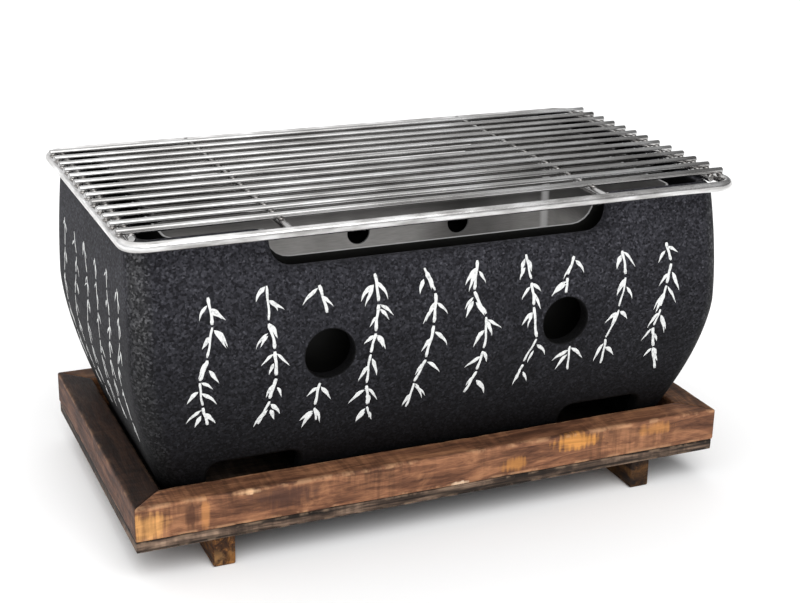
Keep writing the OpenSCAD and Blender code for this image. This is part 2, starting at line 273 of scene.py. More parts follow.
def shell_mesh(spec):
    """Box-like shell with flat long walls, round corners and openings. The front wall is the back wall
    turned round. Returns faces and, per point, x, y, z, the depth below the outside face and how much
    of an edge it is, from 0 to 1."""
    wall = spec["wall"]
    join_x = spec["join_x"]
    low, high = spec["low"], spec["high"]
    steps = spec["edge_steps"]
    points = []
    faces = []

    def add(xyzd, new_faces):
        start = len(points)
        points.extend(xyzd)
        faces.extend([[start + i for i in face] for face in new_faces])

    def sides(xz, depth, mark, new_faces):
        depth = np.broadcast_to(depth, len(xz))
        out = spec["half_y"](xz[:, 1]) - depth
        marks = np.where((depth > 0) & (depth < wall), mark, 0)
        for side in (-1, 1):
            add(np.column_stack([side * xz[:, 0], side * out, xz[:, 1], depth, marks]).tolist(), new_faces)

    def profile(kind):
        """Setback and depth across an edge, from the outside face to the inside face."""
        outer = round_edge(spec["outer_r"][kind], steps)
        inner = round_edge(spec["inner_r"][kind], steps)
        return outer + [(setback, wall - depth) for setback, depth in reversed(inner)]

    top = slotted_edge(spec["top_slots"], join_x, spec["step"])
    bottom = slotted_edge(spec["bottom_slots"], join_x, spec["step"])
    top[:, 1] += high
    bottom[:, 1] = low - bottom[:, 1]
    bottom[:, 3] *= -1
    rings = []
    for middle_x, middle_z, radius in spec["holes"]:
        angles = np.linspace(0, 4 * QUARTER, spec["hole_steps"], endpoint=False)
        ca, sa = np.cos(angles), np.sin(angles)
        rings.append(np.column_stack([middle_x + radius * ca, middle_z + radius * sa, -ca, -sa]))

    contours = [("top", top, False), ("bottom", bottom, False)] + [("hole", r, True) for r in rings]
    for kind, contour, closed in contours:
        rows = profile(kind)
        xz = np.vstack([contour[:, :2] - contour[:, 2:] * setback for setback, _ in rows])
        depth = np.repeat([d for _, d in rows], len(contour))
        sides(xz, depth, spec["marks"][kind], grid_faces(len(rows), len(contour), close_columns=closed))

    end_rows = []
    for radii, depth in ((spec["outer_r"], 0), (spec["inner_r"], wall)):
        z_low = low + radii["bottom"]
        z_high = high - radii["top"]
        count = round((z_high - z_low) / spec["step"])
        rows = set(np.linspace(z_low, z_high, count + 1)[1:-1].tolist())
        if depth == 0 and spec["seam_z"]:
            seam = [spec["seam_z"] + offset for offset in spec["seam_rows"]]
            rows = {z for z in rows if min(abs(z - s) for s in seam) > 0.4 * spec["step"]} | set(seam)
        rows = sorted(rows)
        lower = bottom[:, :2] - bottom[:, 2:] * radii["bottom"]
        upper = top[:, :2] - top[:, 2:] * radii["top"]
        right = np.array([(join_x, z) for z in rows])
        left = np.array([(-join_x, z) for z in reversed(rows)])
        loop = np.vstack([lower, right, upper[::-1], left])
        holes = [ring[:, :2] - ring[:, 2:] * radii["hole"] for ring in rings]
        xz, triangles = fill_panel(loop, holes, rows, spec["step"])
        sides(xz, depth, 0, triangles)
        end_rows.append([z_low] + rows + [z_high])

    across_top = [(high - setback, d) for setback, d in profile("top")]
    across_foot = [(low + setback, d) for setback, d in reversed(profile("bottom"))]
    loop = [(z, 0) for z in end_rows[0][:-1]] + across_top
    loop += [(z, wall) for z in reversed(end_rows[1][1:-1])] + across_foot[:-1]
    corner = spec["corner_r"]
    arc_angles = np.linspace(0, QUARTER, spec["corner_steps"] + 1)
    flat = np.linspace(-1, 1, spec["end_steps"] + 1)[1:-1]
    for end in (-1, 1):
        block = []
        for z, depth in loop:
            centre_x = spec["half_x"](z) - corner
            centre_y = spec["half_y"](z) - corner
            r = corner - depth
            run = [(x, -centre_y - r) for x in np.linspace(join_x, centre_x, spec["run_steps"] + 1)[:-1]]
            arc = [(centre_x + r * math.sin(a), -centre_y - r * math.cos(a)) for a in arc_angles]
            middle = [(centre_x + r, centre_y * f) for f in flat]
            outline = run + arc + middle + [(x, -y) for x, y in reversed(run + arc)]
            mark = spec["marks"]["top" if z > (low + high) / 2 else "bottom"] * (0 < depth < wall)
            block += [(end * x, y, z, depth, mark) for x, y in outline]
        add(block, grid_faces(len(loop), len(block) // len(loop), close_rows=True))
    return np.array(points), faces


def build_shell(name, spec, body, material):
    """Piece from a shell. Its material can read "edge", "outside", 0 on the inside face only, and
    "corner", 1 in the middle of an upright corner."""
    points, faces = shell_mesh(spec)
    x, y, z, depth, edge = points.T
    past_x = np.abs(x) - spec["half_x"](z) + spec["corner_r"]
    past_y = np.abs(y) - spec["half_y"](z) + spec["corner_r"]
    in_corner = (past_x > 0) & (past_y > 0)
    corner = np.where(in_corner, np.sin(2 * np.arctan2(past_y, past_x)), 0)
    if spec["seam_z"]:
        rise = np.abs(z - spec["seam_z"]) / spec["seam_half"]
        groove = spec["seam_depth"] * np.clip(1 - rise, 0, 1) * (depth == 0)
        y = y - np.sign(y) * groove * (past_y > 0)
        x = x - np.sign(x) * groove * (past_y <= 0)
    values = {"edge": edge, "outside": depth < 0.95 * spec["wall"], "corner": corner}
    return new_piece(name, np.column_stack([x, y, z]).tolist(), faces, body, material, values)


# ---------- materials

class Graph:
    """Short names for building the nodes of a material, or of the world."""

    def __init__(self, name, world=False):
        self.owner = (bpy.data.worlds if world else bpy.data.materials).new(name)
        self.owner.use_nodes = True
        self.tree = self.owner.node_tree
        self.shader = self.tree.nodes["Background" if world else "Principled BSDF"]
        self.place = self.tree.nodes.new("ShaderNodeTexCoord").outputs["Generated" if world else "Object"]

    def node(self, kind, inputs=(), **settings):
        made = self.tree.nodes.new(kind)
        for key, value in settings.items():
            setattr(made, key, value)
        for key, value in dict(inputs).items():
            self.fill(made.inputs[key], value)
        return made

    def fill(self, socket, value):
        """Links a socket to an output, or gives it a number, a vector or a colour."""
        if isinstance(value, bpy.types.NodeSocket):
            self.tree.links.new(value, socket)
        elif isinstance(value, tuple):
            socket.default_value = (*value, 1)[:len(socket.default_value)]
        else:
            socket.default_value = value

    def scaled(self, scale):
        """Object coordinates, stretched."""
        return self.node("ShaderNodeMapping", {"Vector": self.place, "Scale": scale}).outputs["Vector"]

    def shifted(self, place, offset):
        return self.node("ShaderNodeVectorMath", {0: place, 1: offset}, operation="ADD").outputs[0]

    def spot(self, middle, reach):
        """1 at a point, falling to 0 at the surface of an ellipsoid round it."""
        away = self.node("ShaderNodeVectorMath", {0: self.place, 1: middle}, operation="SUBTRACT").outputs[0]
        share = tuple(1 / r for r in reach)
        away = self.node("ShaderNodeVectorMath", {0: away, 1: share}, operation="MULTIPLY").outputs[0]
        length = self.node("ShaderNodeVectorMath", {0: away}, operation="LENGTH").outputs["Value"]
        return self.maths("SUBTRACT", 1.0, length, True)

    def noise(self, place, scale, detail=2.0, rough=0.5, distortion=0.0):
        inputs = {"Vector": place, "Scale": scale, "Detail": detail}
        inputs["Roughness"] = rough
        inputs["Distortion"] = distortion
        return self.node("ShaderNodeTexNoise", inputs).outputs["Fac"]

    def ramp(self, factor, stops):
        """Colour ramp; a stop is (position, colour or grey)."""
        made = self.node("ShaderNodeValToRGB", {"Fac": factor})
        elements = made.color_ramp.elements
        while len(elements) < len(stops):
            elements.new(0.5)
        for element, (position, colour) in zip(elements, stops):
            element.position = position
            grey = isinstance(colour, (int, float))
            element.color = (colour, colour, colour, 1) if grey else (*colour, 1)
        return made.outputs["Color"]

    def mix(self, factor, a, b, blend="MIX"):
        made = self.node("ShaderNodeMix", data_type="RGBA", blend_type=blend)
        for number, value in ((0, factor), (6, a), (7, b)):
            self.fill(made.inputs[number], value)
        return made.outputs[2]

    def times(self, a, b):
        return self.mix(1.0, a, b, "MULTIPLY")

    def maths(self, operation, a, b=0.0, clamp=False):
        return self.node("ShaderNodeMath", {0: a, 1: b}, operation=operation, use_clamp=clamp).outputs[0]

    def attribute(self, name):
        return self.node("ShaderNodeAttribute", attribute_name=name).outputs["Fac"]

    def bump(self, height, distance, strength=1.0, normal=None):
        inputs = {"Height": height, "Distance": distance, "Strength": strength}
        if normal is not None:
            inputs["Normal"] = normal
        return self.node("ShaderNodeBump", inputs).outputs["Normal"]

    def finish(self, **sockets):
        """Fills the shader's sockets; an underscore in a name stands for a space."""
        for key, value in sockets.items():
            self.fill(self.shader.inputs[key.replace("_", " ")], value)
        return self.owner


def coating_material():
    """Near-black baked coating with fine stone speckle, a painted highlight on the upright corners, and
    painted shade on rounded edges, inside and towards the foot."""
    g = Graph("cast_coating")
    cells = g.node("ShaderNodeTexVoronoi", {"Vector": g.place, "Scale": 1250.0})
    speck = g.node("ShaderNodeSeparateColor", {"Color": cells.outputs["Color"]}).outputs[0]
    fine = g.noise(g.place, 1000.0, 3.0, 0.6)
    cloud = g.noise(g.place, 45.0, 3.0, 0.55)
    grain = g.mix(0.5, speck, fine)
    colour = g.ramp(grain, [
        (0.20, (0.006, 0.006, 0.008)),
        (0.50, (0.026, 0.026, 0.032)),
        (0.70, (0.050, 0.050, 0.060)),
        (0.88, (0.125, 0.125, 0.145)),
    ])
    shade = g.ramp(cloud, [(0.3, 0.84), (0.7, 1.12)])
    colour = g.times(colour, shade)
    height = g.node("ShaderNodeSeparateXYZ", {0: g.place}).outputs["Z"]
    rise = g.node("ShaderNodeMapRange", {0: height, 1: BOWL_Z, 2: RIM_Z, 3: 0.0, 4: 1.0}).outputs[0]
    # Painted shade: the coating darkens towards the foot, where the wall curves in and gets less light.
    low = g.ramp(rise, [(0.02, 0.05), (0.12, 0.07), (0.25, 0.18), (0.40, 0.32), (0.56, 0.46), (0.90, 0.84)])
    # Painted highlight: a paler band down the middle of each upright corner, broken up by the cloud noise.
    bend = g.ramp(g.attribute("corner"), [(0.35, 0.0), (0.95, 1.0)])
    corner_highlight = g.maths("MULTIPLY", bend, g.ramp(cloud, [(0.35, 0.25), (0.65, 0.75)]), True)
    colour = g.mix(corner_highlight, colour, g.ramp(grain, [(0.35, 0.022), (0.58, 0.060), (0.80, 0.19)]))
    colour = g.times(colour, low)
    # Painted shade: rounded edges, the vents' bores and the arches' edges darkened to near black.
    colour = g.mix(g.maths("MULTIPLY", g.attribute("edge"), 0.9), colour, (0.002, 0.002, 0.002))
    # Painted shade: the inside face, between bowl and fire box, darkened to a twentieth.
    inner = g.ramp(g.attribute("outside"), [(0.0, 0.05), (1.0, 1.0)])
    colour = g.times(colour, inner)
    rough = g.ramp(fine, [(0.3, 0.60), (0.7, 0.82)])
    normal = g.bump(grain, 0.10 * MM, 0.7)
    normal = g.bump(cloud, 0.25 * MM, 0.3, normal)
    return g.finish(Base_Color=colour, Roughness=rough, Normal=normal, Specular_IOR_Level=0.11)


def paint_material():
    """Off-white brushed paint, a little thin in places."""
    g = Graph("white_paint")
    dry = g.noise(g.place, 900.0, 4.0, 0.6)
    colour = g.ramp(dry, [
        (0.30, (0.42, 0.43, 0.43)),
        (0.46, (0.72, 0.73, 0.72)),
        (0.75, (0.84, 0.85, 0.84)),
    ])
    normal = g.bump(dry, 0.05 * MM, 0.5)
    return g.finish(Base_Color=colour, Roughness=0.62, Normal=normal)


def sheet_material():
    """Dull rolled sheet: grey inside with painted shade towards the top, a painted highlight in its bends,
    near-black painted shade outside, plain grey where it was cut."""
    g = Graph("box_sheet")
    rolled = g.noise(g.scaled((1.0, 1.0, 14.0)), 160.0, 4.0, 0.6)
    cloud = g.noise(g.place, 28.0, 3.0, 0.55)
    colour = g.ramp(cloud, [(0.25, (0.34, 0.33, 0.32)), (0.75, (0.62, 0.61, 0.60))])
    streak = g.ramp(rolled, [(0.3, 0.84), (0.7, 1.10)])
    colour = g.times(colour, streak)
    height = g.node("ShaderNodeSeparateXYZ", {0: g.place}).outputs["Z"]
    rise = g.node("ShaderNodeMapRange", {0: height, 1: PARTING_Z, 2: RIM_Z, 3: 0.0, 4: 1.0}).outputs[0]
    # Painted shade: the sheet darkens towards its top.
    sheet_top_shade = g.ramp(rise, [(0.13, 1.0), (0.30, 0.36), (0.50, 0.20)])
    colour = g.times(colour, sheet_top_shade)
    # A darker patch on the back wall, right of the middle.
    darker_patch = g.spot((66 * MM, box_high.y, PARTING_Z), (30 * MM, 20 * MM, 60 * MM))
    dull = g.ramp(darker_patch, [(0.0, 1.0), (0.7, 0.45)])
    colour = g.times(colour, dull)
    # Painted highlight: near-white in the middle of each bend.
    colour = g.mix(g.ramp(g.attribute("corner"), [(0.6, 0.0), (0.95, 0.8)]), colour, (0.86, 0.86, 0.86))
    # Painted shade: the outside face, between fire box and bowl, near black.
    outside_shade = g.noise(g.place, 60.0, 4.0, 0.6)
    outside_shade = g.ramp(outside_shade, [(0.2, (0.002, 0.002, 0.002)), (0.8, (0.005, 0.005, 0.004))])
    colour = g.mix(g.attribute("outside"), colour, outside_shade)
    colour = g.mix(g.attribute("edge"), colour, (0.30, 0.30, 0.30))
    metal = g.maths("SUBTRACT", 0.30, g.maths("MULTIPLY", g.attribute("outside"), 0.28))
    rough = g.ramp(rolled, [(0.3, 0.42), (0.7, 0.56)])
    normal = g.bump(rolled, 0.03 * MM, 0.4)
    return g.finish(Base_Color=colour, Metallic=metal, Roughness=rough, Normal=normal,
                    Specular_IOR_Level=0.15)


def wire_material(name, stretch, painted_light_tone=1.0, scorch=0.0):
    """Drawn stainless wire with fine lines along it. Its greys are scaled by the light factor, which paints a
    highlight where it is above 1; scorch browns it.
    """
    g = Graph(name)
    drawn = g.noise(g.scaled(stretch), 900.0, 3.0, 0.6)
    cloud = g.noise(g.scaled(tuple(max(s, 0.4) for s in stretch)), 75.0, 3.0, 0.5)
    greys = [(0.32, (0.24, 0.235, 0.23)), (0.50, (0.38, 0.375, 0.37)), (0.70, (0.56, 0.56, 0.56))]
    colour = g.ramp(cloud, [(place, tuple(painted_light_tone * c for c in grey)) for place, grey in greys])
    colour = g.mix(scorch, colour, (0.20, 0.17, 0.15))
    rough = g.ramp(drawn, [(0.3, 0.14), (0.7, 0.28)])
    normal = g.bump(drawn, 0.02 * MM, 0.5)
    return g.finish(Base_Color=colour, Metallic=1.0, Roughness=rough, Normal=normal)


def wood_material(name, along, seed, dark, mid, light, wear, wear_share=0.8, top_shade=0.8,
                  layers=0.0, marks=()):
    """Scorched softwood: grain along one axis, burnt blotches, saw marks across it, worn edges and painted
    shade on its upper face. layers is how much it shows plies, and each mark has a middle, reach and tint."""
    g = Graph(name)

    def noise_by(share_along, share_across, *settings):
        """Noise stretched along and across the grain, different on each piece."""
        stretch = tuple(share_along if axis == along else share_across for axis in range(3))
        return g.noise(g.shifted(g.scaled(stretch), shift), *settings)

    shift = (0.37 * seed, 0.61 * seed, 0.23 * seed)
    bend = noise_by(1.0, 1.0, 26.0, 2.0, 0.5)
    rings = noise_by(0.12, 1.0, 330.0, 5.0, 0.62, 1.0)
    fibre = noise_by(0.12, 1.0, 2100.0, 3.0, 0.6)
    patch = noise_by(0.6, 1.0, 62.0, 5.0, 0.62, 1.1)
    saw = noise_by(1.0, 0.10, 560.0, 2.0, 0.5)
    grain = g.mix(0.30, rings, bend)
    grain = g.mix(0.25, grain, fibre)
    colour = g.ramp(grain, [(0.35, dark), (0.49, mid), (0.66, light)])
    scorch = g.ramp(patch, [(0.36, 0.9), (0.47, 0.25), (0.52, 0.0)])
    colour = g.mix(scorch, colour, g.mix(0.5, colour, tuple(0.35 * c for c in dark)))
    glow = g.ramp(patch, [(0.54, 0.0), (0.66, 0.75)])
    colour = g.mix(glow, colour, light)
    ragged = g.mix(0.55, noise_by(0.12, 1.0, 240.0, 4.0, 0.6), saw)
    ragged = g.maths("MULTIPLY", g.maths("SUBTRACT", ragged, 0.5), 2.6)
    for middle, reach, tint in marks:
        here = g.spot(middle, reach)
        broken = g.maths("MULTIPLY", ragged, g.ramp(here, [(0.0, 0.0), (0.15, 1.0)]))
        shape = g.ramp(g.maths("ADD", here, broken), [(0.15, 0.0), (0.65, 0.8)])
        colour = g.mix(shape, colour, tint)
    shade = g.ramp(rings, [(0.36, 0.80), (0.62, 1.10)])
    colour = g.times(colour, shade)
    ply = g.noise(g.shifted(g.scaled((0.03, 0.03, 1.0)), shift), 520.0, 2.0, 0.5)
    plies = g.ramp(ply, [(0.42, 0.12), (0.50, 0.8), (0.60, 2.2)])
    colour = g.mix(layers, colour, g.times(colour, plies))
    saw_shade = g.ramp(saw, [(0.40, 0.70), (0.60, 1.12)])
    saw_where = g.ramp(bend, [(0.42, 0.0), (0.54, 0.9)])
    colour = g.mix(saw_where, colour, g.times(colour, saw_shade))
    patchy = g.ramp(noise_by(1.0, 1.0, 150.0, 3.0, 0.6), [(0.48, 0.0), (0.60, wear_share)])
    worn = g.ramp(g.attribute("wear"), [(0.5, 0.0), (0.95, 1.0)])
    colour = g.mix(g.maths("MULTIPLY", worn, patchy, True), colour, wear)
    # Painted shade: the upper face darkened to top_shade.
    colour = g.times(colour, g.ramp(g.attribute("upper"), [(0.3, 1.0), (0.95, top_shade)]))
    rough = g.ramp(fibre, [(0.3, 0.58), (0.7, 0.80)])
    normal = g.bump(fibre, 0.12 * MM, 0.6)
    normal = g.bump(rings, 0.35 * MM, 0.5, normal)
    return g.finish(Base_Color=colour, Roughness=rough, Normal=normal, Specular_IOR_Level=0.22)


def zinc_material():
    """Yellow zinc screw, a little dull."""
    g = Graph("screw_steel")
    cloud = g.noise(g.place, 700.0, 3.0, 0.6)
    colour = g.ramp(cloud, [(0.3, (0.42, 0.36, 0.20)), (0.7, (0.62, 0.56, 0.38))])
    rough = g.ramp(cloud, [(0.3, 0.30), (0.7, 0.48)])
    return g.finish(Base_Color=colour, Metallic=1.0, Roughness=rough)


COATING = coating_material()
PAINT = paint_material()
SHEET = sheet_material()
ZINC = zinc_material()


# ---------- bowl

def drawn_in(z, widest, foot_draw, foot_power, top_draw):
    """Half the bowl's length or depth at a height."""
    below = np.maximum(0, PARTING_Z - z) / PARTING_RISE
    above = np.maximum(0, z - PARTING_Z) / (RIM_Z - PARTING_Z)
    return widest - foot_draw * below ** foot_power - top_draw * above ** RIM_POWER


def bowl_half_x(z):
    return drawn_in(z, bowl_high.x, FOOT_DRAW_X, FOOT_POWER_X, TOP_DRAW_X)


def bowl_half_y(z):
    return drawn_in(z, bowl_high.y, FOOT_DRAW_Y, FOOT_POWER_Y, TOP_DRAW_Y)


def build_bowl():
    """Walls of the bowl, with the notches, arches and vents."""
    arch = (ARCH_HALF, ARCH_H, ARCH_R, 1.55 * MM)
    spec = {
        "half_x": bowl_half_x, "half_y": bowl_half_y, "low": BOWL_Z, "high": RIM_Z,
        "wall": BOWL_WALL, "corner_r": BOWL_CORNER_R, "join_x": BOWL_JOIN_X,
        "step": 2 * MM, "edge_steps": 5, "corner_steps": 12, "end_steps": 30, "run_steps": 6,
        "hole_steps": 72,
        "outer_r": {"top": 3.4 * MM, "bottom": 1.5 * MM, "hole": 0.45 * MM},
        "inner_r": {"top": 1.5 * MM, "bottom": 1.0 * MM, "hole": 0.8 * MM},
        # Painted shade: how far each kind of edge is darkened in the coating.
        "marks": {"top": 0.15, "bottom": 1.0, "hole": 1.0},
        "top_slots": [(0, NOTCH_HALF, NOTCH_DEPTH, NOTCH_R, 4.6 * MM)],
        "bottom_slots": [(-ARCH_X, *arch), (ARCH_X, *arch)],
        "holes": [(-VENT_X, PARTING_Z, VENT_R), (VENT_X, PARTING_Z, VENT_R)],
        "seam_z": PARTING_Z, "seam_half": 0.4 * MM, "seam_depth": 0.22 * MM,
        "seam_rows": [-0.8 * MM, -0.4 * MM, 0, 0.4 * MM, 0.8 * MM],
    }
    shell = build_shell("bowl_shell", spec, "bowl", COATING)
    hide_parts("bowl_casting")


def build_bowl_floor():
    """Floor slab whose upper edge sweeps up into the walls, with the two ribs the fire box stands on."""
    floor_z = BOWL_Z + FLOOR_RISE
    fillet = 4 * MM
    bite = 0.8 * MM
    levels = [(floor_z - BOWL_WALL, BOWL_WALL - bite), (floor_z + fillet + bite / 2, BOWL_WALL - bite)]
    for a in np.linspace(0, QUARTER, 7):
        levels.append((floor_z + fillet * (1 - math.sin(a)), BOWL_WALL + fillet * (1 - math.cos(a))))
    points = []
    for z, depth in levels:
        points += [(x, y, z) for x, y in round_outline(bowl_half_x(z) - depth, bowl_half_y(z) - depth,
                                                       max(BOWL_CORNER_R - depth, 0.5 * MM), 8)]
    count = len(points) // len(levels)
    faces = grid_faces(len(levels), count, close_columns=True)
    faces += caps(len(levels), count)
    rib_low = box_low.y + BOX_CORNER_R
    for side in (-1, 1):
        block = rounded_block(side * RIB_X - RIB_HALF_W, side * RIB_X + RIB_HALF_W, rib_low, -rib_low,
                              floor_z - MM, box_low.z, 1.0 * MM)
        join_on(points, faces, block)
    slab = new_piece("bowl_floor", points, faces, "bowl", COATING)
    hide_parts("bowl_casting")


def round_outline(hx, hy, r, steps):
    """Rectangle with round corners, anticlockwise."""
    outline = []
    for corner in range(4):
        sx = 1 if corner in (0, 3) else -1
        sy = 1 if corner < 2 else -1
        for k in range(steps + 1):
            a = QUARTER * (corner + k / steps)
            outline.append((sx * (hx - r) + r * math.cos(a), sy * (hy - r) + r * math.sin(a)))
    return outline


def rounded_block(x0, x1, y0, y1, z0, z1, r):
    """Upright block with round corners and a rounded top edge."""
    cx, cy = (x0 + x1) / 2, (y0 + y1) / 2
    hx, hy = (x1 - x0) / 2, (y1 - y0) / 2
    levels = [(z0, 0.0), (z1 - r, 0.0)]
    levels += [(z1 - r * (1 - math.sin(a)), r * (1 - math.cos(a))) for a in np.linspace(0, QUARTER, 5)[1:]]
    points = []
    for z, inset in levels:
        outline = round_outline(hx - inset, hy - inset, 1.6 * r - inset, 5)
        points += [(cx + x, cy + y, z) for x, y in outline]
    count = len(points) // len(levels)
    faces = grid_faces(len(levels), count, close_columns=True)
    faces += caps(len(levels), count)
    return points, faces


# ---------- painted grass pattern

def on_bowl(side, u, v, lift):
    """Point on the bowl's outside: u to the right as seen from that side, v the height."""
    along, across = ("x", "y") if side in ("front", "back") else ("y", "x")
    reach = bowl_half_x(v) if along == "x" else bowl_half_y(v)
    face = bowl_half_y(v) if along == "x" else bowl_half_x(v)
    past = max(0.0, abs(u) - (reach - BOWL_CORNER_R))
    drop = BOWL_CORNER_R - math.sqrt(max(BOWL_CORNER_R ** 2 - past ** 2, 0))
    out = face - drop + lift
    return {
        "front": (u, -out, v), "back": (-u, out, v),
        "left": (-out, -u, v), "right": (out, u, v),
    }[side]


def brush_line(points, faces, side, path, widths):
    """Thin closed ribbon of paint along a path of (u, v)."""
    count = len(path)
    start = len(points)
    for i, (u, v) in enumerate(path):
        u0, v0 = path[max(i - 1, 0)]
        u1, v1 = path[min(i + 1, count - 1)]
        length = math.hypot(u1 - u0, v1 - v0) or 1.0
        nu, nv = -(v1 - v0) / length, (u1 - u0) / length
        half = widths[i] / 2
        for share, height in ((-1, -PAINT_SINK), (-0.75, PAINT_LIFT), (0.75, PAINT_LIFT), (1, -PAINT_SINK)):
            points.append(on_bowl(side, u + nu * half * share, v + nv * half * share, height))
    faces.extend(grid_faces(count, 4, close_columns=True, start=start))
    faces.extend(caps(count, 4, start))


def curved_path(draw, u, v, angle, length, bend, steps):
    """Path that starts at (u, v), heads at angle from straight down and bends on the way."""
    path = [(u, v)]
    wobble = draw.uniform(0, 2 * math.pi)
    for i in range(steps):
        t = (i + 1) / steps
        heading = angle + bend * t + 0.10 * math.sin(9 * t + wobble)
        u += math.sin(heading) * length / steps
        v -= math.cos(heading) * length / steps
        path.append((u, v))
    return path


def leaf_widths(draw, steps, width):
    """Widths of a pointed leaf, fullest a third of the way along, with a rough edge."""
    widths = []
    for i in range(steps + 1):
        t = i / steps
        full = (t / 0.3) ** 0.7 if t < 0.3 else ((1 - t) / 0.7) ** 0.85
        widths.append(max(width * full * draw.uniform(0.88, 1.08), 0.05 * MM))
    return widths


def stem_widths(draw, steps, width):
    """Widths of a stem piece, fuller at both ends."""
    widths = []
    for i in range(steps + 1):
        t = i / steps
        full = 0.72 + 0.38 * abs(2 * t - 1) ** 2
        end = 0.55 if i in (0, steps) else 1.0
        widths.append(width * full * end * draw.uniform(0.9, 1.1))
    return widths


def paint_stalk(points, faces, draw, side, u, top, foot):
    """One stalk of reed: a jointed wavy stem with pointed leaves at its joints, clear of the vents.
    It is finer on the bowl's ends."""
    has_vents = side in ("front", "back")
    weight = 1.0 if has_vents else 0.6

    def clear(path):
        return not has_vents or all(math.hypot(abs(a) - VENT_X, b - PARTING_Z) > VENT_ROOM for a, b in path)

    sway = draw.uniform(0, 2 * math.pi)
    column = u
    v = top
    while v > foot + 4 * MM:
        length = min(draw.uniform(7, 13) * MM, v - foot)
        width = weight * draw.uniform(1.15, 1.75) * MM
        angle = 0.34 * math.sin(v * 95 + sway) - (u - column) * 60
        path = curved_path(draw, u, v, angle, length, draw.uniform(-0.25, 0.25), 9)
        if clear(path):
            brush_line(points, faces, side, path, stem_widths(draw, 9, width))
        for direction in draw.choice([(-1, 1), (1, -1), (1, -1, -1), (-1, 1, 1), (1, -1, 1)]):
            spread = direction * draw.uniform(0.45, 1.25)
            reach = weight * draw.uniform(4.5, 9.0) * MM
            start_u = u + direction * 0.5 * MM
            start_v = v - draw.uniform(0, 0.5) * length
            leaf = curved_path(draw, start_u, start_v, spread, reach, -spread * draw.uniform(0.2, 0.8), 8)
            if clear(leaf):
                width = weight * draw.uniform(1.4, 2.4) * MM
                brush_line(points, faces, side, leaf, leaf_widths(draw, 8, width))
        u, v = path[-1]
        v -= draw.uniform(0.8, 1.6) * MM


def paint_pattern():
    """Stalks of reed in columns on all four sides. Above and below a vent a column has its own stalk."""
    draw = random.Random(11)
    points = []
    faces = []
    long_sides = (("front", "back"), LONG_COLUMNS, LONG_PITCH, (18.5, 22), (32, 38))
    ends = (("left", "right"), END_COLUMNS, END_PITCH, (17, 22), (22, 30))
    for sides, columns, pitch, below_rim, above_foot in (long_sides, ends):
        for side in sides:
            for i in range(columns):
                u = (i - (columns - 1) / 2) * pitch + draw.uniform(-0.8, 0.8) * MM
                top = RIM_Z - draw.uniform(*below_rim) * MM
                foot = BOWL_Z + draw.uniform(*above_foot) * MM
                if columns == LONG_COLUMNS and abs(abs(u) - VENT_X) < VENT_R / 2:
                    paint_stalk(points, faces, draw, side, u, top, PARTING_Z + VENT_ROOM)
                    top = PARTING_Z - VENT_ROOM
                paint_stalk(points, faces, draw, side, u, top, foot)
    new_piece("painted_reeds", points, faces, "bowl", PAINT)


# ---------- fire box

def build_fire_box():
    """Bent sheet wall with its notches and air holes."""
    def half_x(z):
        return box_high.x + 0 * z

    def half_y(z):
        return box_high.y + 0 * z

    hole_z = PARTING_Z + AIR_HOLE_RISE
    cut = {"top": 0.22 * MM, "bottom": 0.22 * MM, "hole": 0.22 * MM}
    spec = {
        "half_x": half_x, "half_y": half_y, "low": box_low.z, "high": box_high.z,
        "wall": SHEET_T, "corner_r": BOX_CORNER_R, "join_x": box_high.x - BOX_CORNER_R - MM,
        "step": 3 * MM, "edge_steps": 2, "corner_steps": 10, "end_steps": 20, "run_steps": 1,
        "hole_steps": 40, "outer_r": cut, "inner_r": cut,
        "marks": {"top": 1.0, "bottom": 1.0, "hole": 0.3},
        "top_slots": [(0, BOX_NOTCH_HALF, BOX_NOTCH_DEPTH, NOTCH_R, 1.2 * MM)], "bottom_slots": [],
        "holes": [(i * AIR_HOLE_PITCH + AIR_HOLE_SHIFT, hole_z, AIR_HOLE_R) for i in (-1, 0, 1)],
        "seam_z": None,
    }
    wall = build_shell("fire_box_sheet", spec, "fire_box", SHEET)
    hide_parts("fire_box_wall")


# ---------- grate

def tube(path, radii, segments, closed):
    """Points and faces of a round tube along a path."""
    path = [Vector(p) for p in path]
    count = len(path)
    points = []
    for i, (p, radius) in enumerate(zip(path, radii)):
        before = path[(i - 1) % count] if closed or i else path[0]
        after = path[(i + 1) % count] if closed or i < count - 1 else path[-1]
        forward = (after - before).normalized()
        side = Vector((0, 0, 1)).cross(forward).normalized()
        up = forward.cross(side)
        for k in range(segments):
            a = 4 * QUARTER * k / segments
            points.append(p + radius * (math.cos(a) * side + math.sin(a) * up))
    faces = grid_faces(count, segments, close_rows=closed, close_columns=True)
    if not closed:
        faces += caps(count, segments)
    return points, faces


def straight_wire(start, end, radius, draw, stations=48, segments=24):
    """Nearly straight wire with rounded ends and a trace of waviness."""
    start, end = Vector(start), Vector(end)
    along = (end - start).normalized()
    side = Vector((0, 0, 1)).cross(along)
    wave_a = draw.uniform(0, 6.28)
    wave_b = draw.uniform(0, 6.28)
    sway = draw.uniform(0.03, 0.12) * MM
    length = (end - start).length
    nose = 0.45 * radius
    inner = np.linspace(nose, length - nose, stations)[1:-1]
    path = [nose * (1 - math.cos(a)) for a in (0, 0.5, 1.0)] + [nose]
    radii = [radius * (0.62 + 0.38 * math.sin(a)) for a in (0, 0.5, 1.0)] + [radius]
    path = path + inner.tolist() + [length - d for d in reversed(path)]
    radii = radii + [radius] * len(inner) + radii[::-1]
    line = []
    for d in path:
        t = d / length
        wander = sway * math.sin(7 * t + wave_a)
        lift = 0.5 * sway * math.sin(9 * t + wave_b) - sway / 2
        line.append(start + along * d + side * wander + Vector((0, 0, lift)))
    return tube(line, radii, segments, False)


